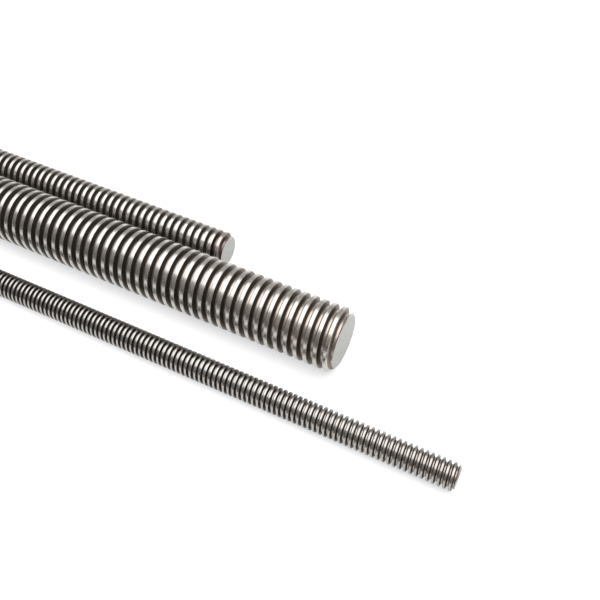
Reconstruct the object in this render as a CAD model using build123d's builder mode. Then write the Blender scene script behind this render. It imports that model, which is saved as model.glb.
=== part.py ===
from build123d import *
import math
import os

os.makedirs("parts", exist_ok=True)

# Three bare ACME lead screws lying side by side on z = 0, all along X.
# Millimetres. Sizes are ASME B1.5 general purpose ACME threads, right-hand.

INCH = 25.4
BAR_LENGTH = 12 * INCH            # one-foot stock length, threaded end to end

LARGE_D = 1.25 * INCH             # 1 1/4 - 5 ACME
LARGE_TPI = 5
MEDIUM_D = 0.75 * INCH            # 3/4 - 6 ACME
MEDIUM_TPI = 6
SMALL_D = 0.5 * INCH              # 1/2 - 10 ACME
SMALL_TPI = 10

FLANK_ANGLE = 14.5                # degrees, half of the 29 degree thread angle
CREST_FLAT = 0.3707               # crest flat as a fraction of the pitch
MINOR_ALLOWANCE = 0.020 * INCH    # taken off the minor diameter below d - P

LARGE_CHAMFER = 2.5               # 45 degree end chamfers
MEDIUM_CHAMFER = 1.9
SMALL_CHAMFER = 1.4

MEDIUM_GAP_Y = 31.4               # axis distance, large to medium, on the floor
SMALL_GAP_Y = 37.4                # axis distance, large to small, on the floor
MEDIUM_BACK_X = 80.7              # medium right end, short of the large right end
SMALL_AHEAD_X = 70.6              # small right end, past the large right end

# angle at the left end where each groove starts, about the screw axis
LARGE_START = 194.0
MEDIUM_START = 180.0
SMALL_START = 280.0

# the set is centred on the origin, with its lowest crest line on z = 0
X_SPAN = BAR_LENGTH + MEDIUM_BACK_X + SMALL_AHEAD_X
SMALL_LEFT = X_SPAN / 2 - BAR_LENGTH
LARGE_LEFT = SMALL_LEFT - SMALL_AHEAD_X
MEDIUM_LEFT = LARGE_LEFT - MEDIUM_BACK_X
LARGE_Y = ((SMALL_GAP_Y + SMALL_D / 2) - (MEDIUM_GAP_Y + MEDIUM_D / 2)) / 2
MEDIUM_Y = LARGE_Y + MEDIUM_GAP_Y
SMALL_Y = LARGE_Y - SMALL_GAP_Y


def thread_sizes(diameter, tpi):
    """Pitch, root radius, and half widths of the groove at its root and above the crest."""
    pitch = INCH / tpi
    root_radius = (diameter - pitch - MINOR_ALLOWANCE) / 2
    depth = diameter / 2 - root_radius
    slope = math.tan(math.radians(FLANK_ANGLE))
    half_root = (1 - CREST_FLAT) * pitch / 2 - depth * slope
    return pitch, root_radius, depth, half_root, slope


def quarter_arc(radius, quarter):
    """A quarter of the crest circle, bowed out by 2 microns, so the crest stays in quarter faces."""
    points = []
    for step, reach in ((0, 0), (45, 0.002), (90, 0)):
        angle = math.radians(90 * quarter + step)
        points.append(((radius + reach) * math.cos(angle), (radius + reach) * math.sin(angle)))
    return points


def screw_place(left, y, diameter, start):
    """Where a bar made along +Z goes: left end at `left`, along +X, turned to its groove start."""
    lying = Plane(origin=(left, y, diameter / 2), x_dir=(0, 1, 0), z_dir=(1, 0, 0))
    return lying.location * Rotation(0, 0, start)


OVER = 0.5                        # the groove tool stands this far out of the crest

# --- large screw -------------------------------------------------------------
L_PITCH, L_ROOT, L_DEPTH, L_HALF, SLOPE = thread_sizes(LARGE_D, LARGE_TPI)

with BuildPart() as large_groove:
    with BuildLine() as large_path:
        Helix(pitch=L_PITCH, height=L_PITCH, radius=L_ROOT)
    with BuildSketch(Plane.XZ) as large_profile:
        with BuildLine():
            Polyline(
                (L_ROOT, -L_HALF),
                (L_ROOT + L_DEPTH + OVER, -L_HALF - (L_DEPTH + OVER) * SLOPE),
                (L_ROOT + L_DEPTH + OVER, L_HALF + (L_DEPTH + OVER) * SLOPE),
                (L_ROOT, L_HALF),
                close=True,
            )
        make_face()
    sweep(path=large_path.line, is_frenet=True)

with BuildPart() as large_bar:
    with BuildSketch():
        with BuildLine():
            for quarter in range(4):
                ThreePointArc(*quarter_arc(LARGE_D / 2, quarter))
        make_face()
    extrude(amount=BAR_LENGTH, clean=False)
    with BuildSketch(Plane.XZ):
        with Locations((LARGE_D / 2, 0), (LARGE_D / 2, BAR_LENGTH)):
            Rectangle(LARGE_CHAMFER * math.sqrt(2), LARGE_CHAMFER * math.sqrt(2), rotation=45)
    revolve(axis=Axis.Z, mode=Mode.SUBTRACT, clean=False)
    with Locations(*[(0, 0, (turn - 1) * L_PITCH) for turn in range(LARGE_TPI * 12 + 2)]):
        add(large_groove.part, mode=Mode.SUBTRACT, clean=False)

with BuildPart() as large_screw:
    with Locations(screw_place(LARGE_LEFT, LARGE_Y, LARGE_D, LARGE_START)):
        add(large_bar.part, clean=False)

large_screw.part.label = "large_screw"
export_step(large_screw.part, "parts/large_screw.step")

# --- medium screw ------------------------------------------------------------
M_PITCH, M_ROOT, M_DEPTH, M_HALF, SLOPE = thread_sizes(MEDIUM_D, MEDIUM_TPI)

with BuildPart() as medium_groove:
    with BuildLine() as medium_path:
        Helix(pitch=M_PITCH, height=M_PITCH, radius=M_ROOT)
    with BuildSketch(Plane.XZ) as medium_profile:
        with BuildLine():
            Polyline(
                (M_ROOT, -M_HALF),
                (M_ROOT + M_DEPTH + OVER, -M_HALF - (M_DEPTH + OVER) * SLOPE),
                (M_ROOT + M_DEPTH + OVER, M_HALF + (M_DEPTH + OVER) * SLOPE),
                (M_ROOT, M_HALF),
                close=True,
            )
        make_face()
    sweep(path=medium_path.line, is_frenet=True)

with BuildPart() as medium_bar:
    with BuildSketch():
        with BuildLine():
            for quarter in range(4):
                ThreePointArc(*quarter_arc(MEDIUM_D / 2, quarter))
        make_face()
    extrude(amount=BAR_LENGTH, clean=False)
    with BuildSketch(Plane.XZ):
        with Locations((MEDIUM_D / 2, 0), (MEDIUM_D / 2, BAR_LENGTH)):
            Rectangle(MEDIUM_CHAMFER * math.sqrt(2), MEDIUM_CHAMFER * math.sqrt(2), rotation=45)
    revolve(axis=Axis.Z, mode=Mode.SUBTRACT, clean=False)
    with Locations(*[(0, 0, (turn - 1) * M_PITCH) for turn in range(MEDIUM_TPI * 12 + 2)]):
        add(medium_groove.part, mode=Mode.SUBTRACT, clean=False)

with BuildPart() as medium_screw:
    with Locations(screw_place(MEDIUM_LEFT, MEDIUM_Y, MEDIUM_D, MEDIUM_START)):
        add(medium_bar.part, clean=False)

medium_screw.part.label = "medium_screw"
export_step(medium_screw.part, "parts/medium_screw.step")

# --- small screw -------------------------------------------------------------
S_PITCH, S_ROOT, S_DEPTH, S_HALF, SLOPE = thread_sizes(SMALL_D, SMALL_TPI)

with BuildPart() as small_groove:
    with BuildLine() as small_path:
        Helix(pitch=S_PITCH, height=S_PITCH, radius=S_ROOT)
    with BuildSketch(Plane.XZ) as small_profile:
        with BuildLine():
            Polyline(
                (S_ROOT, -S_HALF),
                (S_ROOT + S_DEPTH + OVER, -S_HALF - (S_DEPTH + OVER) * SLOPE),
                (S_ROOT + S_DEPTH + OVER, S_HALF + (S_DEPTH + OVER) * SLOPE),
                (S_ROOT, S_HALF),
                close=True,
            )
        make_face()
    sweep(path=small_path.line, is_frenet=True)

with BuildPart() as small_bar:
    with BuildSketch():
        with BuildLine():
            for quarter in range(4):
                ThreePointArc(*quarter_arc(SMALL_D / 2, quarter))
        make_face()
    extrude(amount=BAR_LENGTH, clean=False)
    with BuildSketch(Plane.XZ):
        with Locations((SMALL_D / 2, 0), (SMALL_D / 2, BAR_LENGTH)):
            Rectangle(SMALL_CHAMFER * math.sqrt(2), SMALL_CHAMFER * math.sqrt(2), rotation=45)
    revolve(axis=Axis.Z, mode=Mode.SUBTRACT, clean=False)
    with Locations(*[(0, 0, (turn - 1) * S_PITCH) for turn in range(SMALL_TPI * 12 + 2)]):
        add(small_groove.part, mode=Mode.SUBTRACT, clean=False)

with BuildPart() as small_screw:
    with Locations(screw_place(SMALL_LEFT, SMALL_Y, SMALL_D, SMALL_START)):
        add(small_bar.part, clean=False)

small_screw.part.label = "small_screw"
export_step(small_screw.part, "parts/small_screw.step")
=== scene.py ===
import math
import bpy
import numpy as np
from mathutils import Matrix, Vector


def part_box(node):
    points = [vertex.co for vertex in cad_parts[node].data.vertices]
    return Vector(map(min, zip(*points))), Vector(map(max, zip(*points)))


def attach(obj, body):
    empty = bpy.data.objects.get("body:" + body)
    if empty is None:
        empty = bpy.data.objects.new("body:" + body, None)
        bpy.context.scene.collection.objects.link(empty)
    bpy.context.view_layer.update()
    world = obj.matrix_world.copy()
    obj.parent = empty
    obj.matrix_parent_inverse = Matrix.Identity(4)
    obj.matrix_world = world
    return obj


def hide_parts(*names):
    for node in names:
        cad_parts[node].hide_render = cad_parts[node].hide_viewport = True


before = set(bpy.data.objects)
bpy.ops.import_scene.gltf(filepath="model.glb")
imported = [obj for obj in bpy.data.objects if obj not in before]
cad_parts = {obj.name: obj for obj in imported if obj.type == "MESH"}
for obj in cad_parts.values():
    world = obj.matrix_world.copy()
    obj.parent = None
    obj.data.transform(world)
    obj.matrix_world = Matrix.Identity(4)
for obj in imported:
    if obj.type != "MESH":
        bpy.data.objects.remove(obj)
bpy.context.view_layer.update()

# ------------------------------------------------------------------ the threads
INCH = 0.0254
SLOPE = math.tan(math.radians(14.5))
CREST = 0.3707
ALLOWANCE = 0.020 * INCH
SCREWS = {
    # diameter, threads per inch, end chamfer, start angle, columns around, crest and root corner radius
    "large_screw": dict(d=1.25 * INCH, tpi=5, cham=0.0025, start=194.0, cols=89, crest=0.00025, root=0.00032),
    "medium_screw": dict(d=0.75 * INCH, tpi=6, cham=0.0019, start=180.0, cols=75, crest=0.00020, root=0.00026),
    "small_screw": dict(d=0.50 * INCH, tpi=10, cham=0.0014, start=280.0, cols=48, crest=0.00014, root=0.00016),
}


def thread_section(s):
    """One pitch of thread, crest middle to crest middle, as rows of dx, r, nx, nr with rounded corners."""
    pitch = INCH / s["tpi"]
    root = (s["d"] - pitch - ALLOWANCE) / 2
    depth = s["d"] / 2 - root
    half_root = (1 - CREST) * pitch / 2 - depth * SLOPE
    half_top = half_root + depth * SLOPE
    R = s["d"] / 2
    bend = math.radians(90 - 14.5)
    rows = []
    # right half, from the groove's middle out to the crest's middle
    t = s["root"] * math.tan(bend / 2)
    cx, cy = half_root - t, root + s["root"]
    for k in range(3):
        a = -math.pi / 2 + bend * k / 2
        rows.append((cx + s["root"] * math.cos(a), cy + s["root"] * math.sin(a), -math.cos(a), -math.sin(a)))
    t = s["crest"] * math.tan(bend / 2)
    cx, cy = half_top + t, R - s["crest"]
    for k in range(4):
        a = math.pi / 2 + bend * (1 - k / 3)
        rows.append((cx + s["crest"] * math.cos(a), cy + s["crest"] * math.sin(a), math.cos(a), math.sin(a)))
    right = rows + [(pitch / 2, R, 0.0, 1.0)]
    left = [(-x, r, -nx, nr) for x, r, nx, nr in reversed(right)]
    sec = np.array(left + [(0.0, root, 0.0, 1.0)] + right)
    return sec, pitch, root


def make_screw(name):
    s = SCREWS[name]
    sec, pitch, root = thread_section(s)
    lo, hi = (np.array(v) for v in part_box(name))
    length = hi[0] - lo[0]
    y0, z0 = (lo[1] + hi[1]) / 2, s["d"] / 2
    R, c, S = s["d"] / 2, s["cham"], s["cols"]
    J = len(sec) - 1
    sec_x, sec_r = sec[:, 0], sec[:, 1]

    def radius(x, psi):
        u = np.mod(x - pitch * psi / (2 * math.pi) + pitch / 2, pitch) - pitch / 2
        r = np.interp(u, sec_x, sec_r)
        return np.minimum(r, np.minimum(R - c + x, R - c + length - x))

    zone = c + 0.0006
    k0 = math.ceil((zone + pitch / 2) / pitch)
    k1 = math.floor((length - zone - pitch * 1.5) / pitch)
    n1 = max(6, int(round(c / 0.00011)))
    n2 = int(round((zone + 2.0 * pitch - c) / 0.00016))
    cols = []
    for i in range(S):
        psi = 2 * math.pi * i / S
        off = pitch * psi / (2 * math.pi)
        xa = k0 * pitch - pitch / 2 + off
        xb = (k1 + 1) * pitch - pitch / 2 + off
        left = np.concatenate([np.linspace(0, c, n1, endpoint=False), np.linspace(c, xa, n2, endpoint=False)])
        right = np.concatenate([np.linspace(xb, length - c, n2, endpoint=False), np.linspace(length - c, length, n1 + 1)])[1:]
        lock = np.concatenate([k * pitch + off + sec_x[:-1] for k in range(k0, k1 + 1)] + [[xb]])
        x = np.concatenate([left, lock, right])
        r = radius(x, psi)
        nl, nk = len(left), len(lock)
        r[nl:nl + nk] = np.concatenate([np.tile(sec_r[:-1], k1 - k0 + 1), [R]])
        h = 0.00001
        g = (radius(x + h, psi) - radius(x - h, psi)) / (2 * h)
        edge = (x < h) | (x > length - h)
        g[edge] = np.where(x[edge] < length / 2, 1.0, -1.0)
        nx = -g / np.sqrt(1 + g * g)
        nr = 1 / np.sqrt(1 + g * g)
        nx[nl:nl + nk] = np.concatenate([np.tile(sec[:-1, 2], k1 - k0 + 1), [0.0]])
        nr[nl:nl + nk] = np.concatenate([np.tile(sec[:-1, 3], k1 - k0 + 1), [1.0]])
        cols.append((psi, x, r, nx, nr))
    M = len(cols[0][1])
    nl = n1 + n2
    nk = (k1 - k0 + 1) * J + 1
    start = math.radians(s["start"])
    psi = np.array([q[0] for q in cols])[:, None] + start
    X = np.stack([q[1] for q in cols]); Rr = np.stack([q[2] for q in cols])
    NX = np.stack([q[3] for q in cols]); NR = np.stack([q[4] for q in cols])
    co = np.stack([lo[0] + X, y0 + Rr * np.cos(psi), z0 + Rr * np.sin(psi)], -1).reshape(-1, 3)
    # the thread climbs along +X, so its flanks lean a little around the axis too
    nt = -NX * pitch / (2 * math.pi * Rr)
    cpsi, spsi = np.cos(psi), np.sin(psi)
    nrm = np.stack([NX, NR * cpsi - nt * spsi, NR * spsi + nt * cpsi], -1).reshape(-1, 3)
    nrm /= np.linalg.norm(nrm, axis=1)[:, None]
    # 0 along the middle of the groove's floor, 0.2 in its corners, 1 on the crest; the thread colour ramp uses it to
    # paint shade into the groove corners and flanks
    bent = np.mod(X - pitch * (psi - start) / (2 * math.pi) + pitch / 2, pitch) - pitch / 2
    floor_half = sec_x[sec_r < root + 1e-9].max()
    prof = 0.2 * np.clip(np.abs(bent) / floor_half, 0.0, 1.0) + 0.8 * (Rr - root) / (R - root)
    cut = np.minimum(R - c + X, R - c + length - X)
    turned = np.clip((Rr - cut) / 0.00005 + 1.0, 0.0, 1.0) * (cut < R)
    prof = (prof * (1 - turned) + turned).reshape(-1)
    turn = np.broadcast_to((psi - start) / (2 * math.pi), X.shape).reshape(-1)
    vid = np.arange(S * M).reshape(S, M)
    quads = []
    for i in range(S - 1):
        a, b = vid[i], vid[i + 1]
        quads.append(np.stack([a[:-1], a[1:], b[1:], b[:-1]], -1))
    a = vid[S - 1][nl:nl + nk - J]
    b = vid[0][nl + J:nl + nk]
    quads.append(np.stack([a[:-1], a[1:], b[1:], b[:-1]], -1))
    tris = []

    def zip_up(pa, pb):
        """Triangles between two runs of vertices sorted by x, from shared left to shared right."""
        i = j = 0
        xa, xb = co[pa, 0], co[pb, 0]
        while i < len(pa) - 1 or j < len(pb) - 1:
            if j == len(pb) - 1 or (i < len(pa) - 1 and xa[i + 1] <= xb[j + 1]):
                tris.append((pa[i], pa[i + 1], pb[j])); i += 1
            else:
                tris.append((pa[i], pb[j + 1], pb[j])); j += 1

    zip_up(vid[S - 1][:nl + 1], vid[0][:nl + J + 1])
    zip_up(vid[S - 1][nl + nk - 1 - J:], vid[0][nl + nk - 1:])
    # flat ends
    n = len(co)
    co = np.concatenate([co, [[lo[0], y0, z0], [hi[0], y0, z0]]])
    nrm = np.concatenate([nrm, [[-1, 0, 0], [1, 0, 0]]])
    prof = np.concatenate([prof, [0, 0]]); turn = np.concatenate([turn, [0, 0]])
    caps = []
    for i in range(S):
        j = (i + 1) % S
        caps.append((n, vid[i][0], vid[j][0]))
        caps.append((n + 1, vid[j][-1], vid[i][-1]))
    faces = [tuple(q) for q in np.concatenate(quads).tolist()] + [tuple(int(v) for v in t) for t in tris] + [tuple(int(v) for v in t) for t in caps]
    me = bpy.data.meshes.new(name + "_bar")
    me.from_pydata(co.tolist(), [], faces)
    me.materials.append(None); me.materials.append(None)
    idx = np.zeros(len(faces), dtype=np.int32)
    idx[-len(caps):] = 1
    me.polygons.foreach_set("material_index", idx)
    me.polygons.foreach_set("use_smooth", np.ones(len(faces), dtype=bool))
    # which way the surface winds: outward is checked on the first quad
    me.update()
    f = me.polygons[len(faces) // 3]
    if f.normal.dot(Vector(nrm[f.vertices[0]])) < 0:
        me.flip_normals()
    loops = np.zeros(len(me.loops), dtype=np.int32)
    me.loops.foreach_get("vertex_index", loops)
    ln = nrm[loops].copy()
    first = me.polygons[len(faces) - len(caps)].loop_start
    capn = np.repeat(np.array([[-1.0, 0, 0], [1.0, 0, 0]])[np.arange(len(caps)) % 2], 3, axis=0)
    ln[first:] = capn
    me.normals_split_custom_set(ln.tolist())
    at = me.attributes.new("prof", "FLOAT", "POINT"); at.data.foreach_set("value", prof.astype(np.float32))
    ob = bpy.data.objects.new(name + "_bar", me)
    bpy.context.scene.collection.objects.link(ob)
    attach(ob, name)
    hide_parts(name)
    return ob, (y0, z0, R, root, pitch, lo[0], hi[0])


# --------------------------------------------------------------------- materials
class Nodes:
    def __init__(self, name):
        self.mat = bpy.data.materials.new(name)
        self.mat.use_nodes = True
        self.t = self.mat.node_tree
        self.t.nodes.clear()
        self.out = self.t.nodes.new("ShaderNodeOutputMaterial")

    def new(self, kind, **kw):
        n = self.t.nodes.new(kind)
        for k, v in kw.items():
            setattr(n, k, v)
        return n

    def link(self, a, b):
        self.t.links.new(a, b)

    def math(self, op, a, b=None, c=None, clamp=False):
        n = self.new("ShaderNodeMath", operation=op, use_clamp=clamp)
        for i, v in enumerate((a, b, c)):
            if v is None:
                continue
            if isinstance(v, (int, float)):
                n.inputs[i].default_value = v
            else:
                self.link(v, n.inputs[i])
        return n.outputs[0]

    def ramp(self, fac, stops, interp="LINEAR"):
        n = self.new("ShaderNodeValToRGB")
        n.color_ramp.interpolation = interp
        e = n.color_ramp.elements
        while len(e) < len(stops):
            e.new(0.5)
        for k, (p, col) in enumerate(stops):
            e[k].position = p
            e[k].color = (*col, 1.0) if len(col) == 3 else col
        self.link(fac, n.inputs[0])
        return n.outputs[0]

    def mix(self, fac, a, b, blend="MIX"):
        n = self.new("ShaderNodeMix", data_type="RGBA", blend_type=blend)
        for sock, v in ((n.inputs[0], fac), (n.inputs[6], a), (n.inputs[7], b)):
            if isinstance(v, (int, float)):
                sock.default_value = v
            elif isinstance(v, tuple):
                sock.default_value = (*v, 1.0)
            else:
                self.link(v, sock)
        return n.outputs[2]

    def noise(self, vec, scale, detail=2.0, rough=0.5):
        n = self.new("ShaderNodeTexNoise")
        n.inputs["Scale"].default_value = scale
        n.inputs["Detail"].default_value = detail
        n.inputs["Roughness"].default_value = rough
        self.link(vec, n.inputs["Vector"])
        return n.outputs["Fac"]


def grey(v):
    return (v, v, v)


def thread_steel(name, dims, tint, brown_x):
    """Rolled steel thread: bright crests, flanks darkened brown-black by painted groove shade and grime, beige-grey
    roots, marks along the thread.
    """
    y0, z0, R, root, pitch, x0, x1 = dims
    m = Nodes(name)
    pos = m.new("ShaderNodeTexCoord").outputs["Object"]
    sep = m.new("ShaderNodeSeparateXYZ"); m.link(pos, sep.inputs[0])
    x, y, z = sep.outputs
    yy = m.math("SUBTRACT", y, y0)
    zz = m.math("SUBTRACT", z, z0)
    ang = m.math("ARCTAN2", zz, yy)
    prof = m.new("ShaderNodeAttribute", attribute_name="prof").outputs["Fac"]
    # coordinates for marks that run around the bar
    comb = m.new("ShaderNodeCombineXYZ")
    m.link(m.math("MULTIPLY", x, 9000.0), comb.inputs[0])
    m.link(m.math("MULTIPLY", yy, 350.0), comb.inputs[1])
    m.link(m.math("MULTIPLY", zz, 350.0), comb.inputs[2])
    streak = m.noise(comb.outputs[0], 1.0, 3.0, 0.6)
    blotch = m.noise(pos, 420.0, 4.0, 0.6)
    fleck = m.noise(pos, 2600.0, 3.0, 0.65)
    broad = m.noise(pos, 60.0, 2.0, 0.5)
    # height in the groove, made uneven by dirt blotches; it drives the painted groove shade and grime in the ramp
    # below
    h = m.math("ADD", prof, m.math("MULTIPLY", m.math("SUBTRACT", blotch, 0.5), 0.16))
    # painted shade and grime: the ramp darkens the groove corners and flanks by height in the groove
    col = m.ramp(h, tint["stops"])
    # more brown towards the right end
    brown = m.math("MULTIPLY", m.math("SUBTRACT", x, brown_x[0]), 1.0 / (brown_x[1] - brown_x[0]), clamp=True)
    brown = m.math("MULTIPLY", brown, m.math("SUBTRACT", 1.0, m.math("MULTIPLY", prof, 0.75)), clamp=True)
    col = m.mix(m.math("MULTIPLY", brown, tint["brown_amount"]), col, tint["brown"], "MIX")
    # streaks and blotches in the colour
    v = m.math("ADD", m.math("MULTIPLY", streak, 0.36), m.math("MULTIPLY", blotch, 0.30))
    v = m.math("ADD", v, m.math("MULTIPLY", broad, 0.30))
    v = m.math("ADD", v, 0.53)
    vcol = m.new("ShaderNodeCombineColor")
    for k in range(3):
        m.link(v, vcol.inputs[k])
    col = m.mix(1.0, col, vcol.outputs[0], "MULTIPLY")
    spots = m.ramp(fleck, [(0.0, grey(0.25)), (0.34, grey(0.45)), (0.42, grey(1.0)), (1.0, grey(1.0))])
    col = m.mix(0.55, col, spots, "MULTIPLY")
    rough = m.ramp(h, tint["rough"])
    rough = m.math("ADD", rough, m.math("MULTIPLY", m.math("SUBTRACT", streak, 0.5), 0.16))
    rough = m.math("ADD", rough, m.math("MULTIPLY", m.math("SUBTRACT", blotch, 0.5), 0.14), clamp=True)
    bump = m.new("ShaderNodeBump")
    bump.inputs["Strength"].default_value = 0.22
    bump.inputs["Distance"].default_value = 0.00006
    m.link(m.math("ADD", streak, m.math("MULTIPLY", fleck, 0.6)), bump.inputs["Height"])
    b = m.new("ShaderNodeBsdfPrincipled")
    b.inputs["Metallic"].default_value = 1.0
    m.link(col, b.inputs["Base Color"])
    m.link(rough, b.inputs["Roughness"])
    m.link(bump.outputs[0], b.inputs["Normal"])
    m.link(b.outputs[0], m.out.inputs[0])
    return m.mat


def end_steel(name, dims):
    """Sawn end of the bar: pale matte grey with faint straight saw marks and specks."""
    y0, z0, R, root, pitch, x0, x1 = dims
    m = Nodes(name)
    pos = m.new("ShaderNodeTexCoord").outputs["Object"]
    sep = m.new("ShaderNodeSeparateXYZ"); m.link(pos, sep.inputs[0])
    x, y, z = sep.outputs
    comb = m.new("ShaderNodeCombineXYZ")
    m.link(m.math("MULTIPLY", m.math("ADD", y, m.math("MULTIPLY", z, 0.35)), 5200.0), comb.inputs[0])
    m.link(m.math("MULTIPLY", m.math("SUBTRACT", z, m.math("MULTIPLY", y, 0.35)), 220.0), comb.inputs[1])
    saw = m.noise(comb.outputs[0], 1.0, 3.0, 0.6)
    mott = m.noise(pos, 900.0, 4.0, 0.6)
    speck = m.noise(pos, 3200.0, 2.0, 0.6)
    v = m.math("ADD", m.math("MULTIPLY", saw, 0.5), m.math("MULTIPLY", mott, 0.5))
    col = m.ramp(v, [(0.25, (0.27, 0.27, 0.255)), (0.5, (0.41, 0.41, 0.39)), (0.75, (0.53, 0.525, 0.50))])
    spots = m.ramp(speck, [(0.0, grey(0.4)), (0.33, grey(0.6)), (0.40, grey(1.0)), (1.0, grey(1.0))])
    col = m.mix(0.6, col, spots, "MULTIPLY")
    b = m.new("ShaderNodeBsdfPrincipled")
    b.inputs["Metallic"].default_value = 0.75
    m.link(col, b.inputs["Base Color"])
    m.link(m.math("ADD", m.math("MULTIPLY", saw, 0.25), 0.38), b.inputs["Roughness"])
    bump = m.new("ShaderNodeBump")
    bump.inputs["Strength"].default_value = 0.30
    bump.inputs["Distance"].default_value = 0.00008
    m.link(v, bump.inputs["Height"])
    m.link(bump.outputs[0], b.inputs["Normal"])
    m.link(b.outputs[0], m.out.inputs[0])
    return m.mat


CREST_STEEL = (0.49, 0.475, 0.45)
# colours by height in the groove, in both stop lists: the dark stops from 0.17 to 0.90 are painted shade and grime in
# the groove corners and flanks
STOPS = [(0.0, (0.52, 0.51, 0.50)), (0.08, (0.50, 0.485, 0.47)), (0.17, (0.20, 0.175, 0.15)), (0.26, (0.155, 0.132, 0.112)),
         (0.70, (0.155, 0.136, 0.118)), (0.90, (0.24, 0.22, 0.20)), (0.975, CREST_STEEL), (1.0, CREST_STEEL)]
SMALL_STOPS = [(0.0, (0.44, 0.425, 0.41)), (0.08, (0.41, 0.39, 0.37)), (0.17, (0.16, 0.14, 0.122)), (0.26, (0.12, 0.104, 0.091)),
               (0.70, (0.12, 0.105, 0.093)), (0.90, (0.17, 0.155, 0.142)), (0.975, (0.37, 0.355, 0.34)), (1.0, (0.37, 0.355, 0.34))]
ROUGH = [(0.0, grey(0.27)), (0.08, grey(0.30)), (0.2, grey(0.48)), (0.8, grey(0.42)), (0.96, grey(0.27)), (1.0, grey(0.25))]
TINTS = {
    "large_screw": dict(stops=STOPS, rough=ROUGH, brown=(0.24, 0.17, 0.12), brown_amount=0.45, from_end=0.100, to_end=0.010),
    "medium_screw": dict(stops=STOPS, rough=ROUGH, brown=(0.115, 0.045, 0.035), brown_amount=0.72, from_end=0.0088, to_end=0.0068),
    "small_screw": dict(stops=SMALL_STOPS, rough=ROUGH, brown=(0.17, 0.12, 0.085), brown_amount=0.40, from_end=0.110, to_end=0.0),
}
for name in SCREWS:
    bar, dims = make_screw(name)
    x1 = dims[6]
    bar.data.materials[0] = thread_steel(name + "_thread_steel", dims, TINTS[name], (x1 - TINTS[name]["from_end"], x1 - TINTS[name]["to_end"]))
    bar.data.materials[1] = end_steel(name + "_end_steel", dims)

# ------------------------------------------------------------- floor and lights
bpy.ops.mesh.primitive_plane_add(size=6.0, location=(0, 0, 0))
floor = bpy.context.object
floor.name = "floor"
fm = Nodes("floor_white")
fb = fm.new("ShaderNodeBsdfPrincipled")
fb.inputs["Base Color"].default_value = (0.60, 0.60, 0.60, 1)
fb.inputs["Roughness"].default_value = 0.9
fb.inputs["Specular IOR Level"].default_value = 0.1
fb.inputs["Emission Color"].default_value = (0.97, 0.985, 1.0, 1)
fb.inputs["Emission Strength"].default_value = 0.57
fm.link(fb.outputs[0], fm.out.inputs[0])
floor.data.materials.append(fm.mat)

# the room: mid grey behind, darker and browner in front, darkest along the front horizon
world = bpy.data.worlds.new("studio")
bpy.context.scene.world = world
world.use_nodes = True
wt = world.node_tree
wc = wt.nodes.new("ShaderNodeTexCoord")
ws = wt.nodes.new("ShaderNodeSeparateXYZ"); wt.links.new(wc.outputs["Generated"], ws.inputs[0])


def sky(stops):
    n = wt.nodes.new("ShaderNodeValToRGB")
    e = n.color_ramp.elements
    while len(e) < len(stops):
        e.new(0.5)
    for k, (p, col) in enumerate(stops):
        e[k].position = p
        e[k].color = (*col, 1.0)
    wt.links.new(ws.outputs[2], n.inputs[0])
    return n.outputs[0]


back = sky([(0.0, (0.80, 0.79, 0.78)), (0.35, (0.62, 0.61, 0.60)), (0.8, (0.60, 0.59, 0.58)), (1.0, (0.9, 0.9, 0.9))])
front = sky([(0.0, (0.13, 0.12, 0.113)), (0.22, (0.16, 0.145, 0.138)), (0.45, (0.34, 0.318, 0.305)), (0.8, (0.50, 0.475, 0.465)), (1.0, (0.9, 0.9, 0.9))])
side = wt.nodes.new("ShaderNodeMapRange")
side.interpolation_type = "SMOOTHSTEP"
side.inputs["From Min"].default_value = -0.25
side.inputs["From Max"].default_value = 0.25
wt.links.new(ws.outputs[1], side.inputs["Value"])
wm = wt.nodes.new("ShaderNodeMix"); wm.data_type = "RGBA"
wt.links.new(side.outputs[0], wm.inputs[0]); wt.links.new(front, wm.inputs[6]); wt.links.new(back, wm.inputs[7])
wt.links.new(wm.outputs[2], wt.nodes["Background"].inputs[0])
wt.nodes["Background"].inputs[1].default_value = 1.0


def area(name, loc, target, size, size_y, power, color=(1, 1, 1)):
    l = bpy.data.lights.new(name, "AREA")
    l.shape = "RECTANGLE"; l.size = size; l.size_y = size_y
    l.energy = power; l.color = color
    o = bpy.data.objects.new(name, l)
    o.location = loc
    o.rotation_euler = (Vector(target) - Vector(loc)).to_track_quat("-Z", "Y").to_euler()
    bpy.context.scene.collection.objects.link(o)
    return o


area("top_softbox", (0.0, 0.12, 1.2), (0, 0.12, 0), 2.4, 1.6, 24.5)

# ----------------------------------------------------------------------- camera
AZ, EL, F_PX = math.radians(26.52), math.radians(50.09), 784.0
lo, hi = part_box("large_screw")
cam_at = Vector((hi[0] + 0.0798, (lo[1] + hi[1]) / 2 - 0.2057, 0.3090))
fwd = Vector((-math.cos(EL) * math.sin(AZ), math.cos(EL) * math.cos(AZ), -math.sin(EL)))
cam = bpy.data.cameras.new("camera")
cam.sensor_width = 36.0
cam.lens = F_PX * 36.0 / 600.0
cam.clip_start = 0.01
co = bpy.data.objects.new("camera", cam)
co.location = cam_at
co.rotation_euler = fwd.to_track_quat("-Z", "Y").to_euler()
bpy.context.scene.collection.objects.link(co)
bpy.context.scene.camera = co

bpy.context.scene.view_settings.view_transform = "Standard"
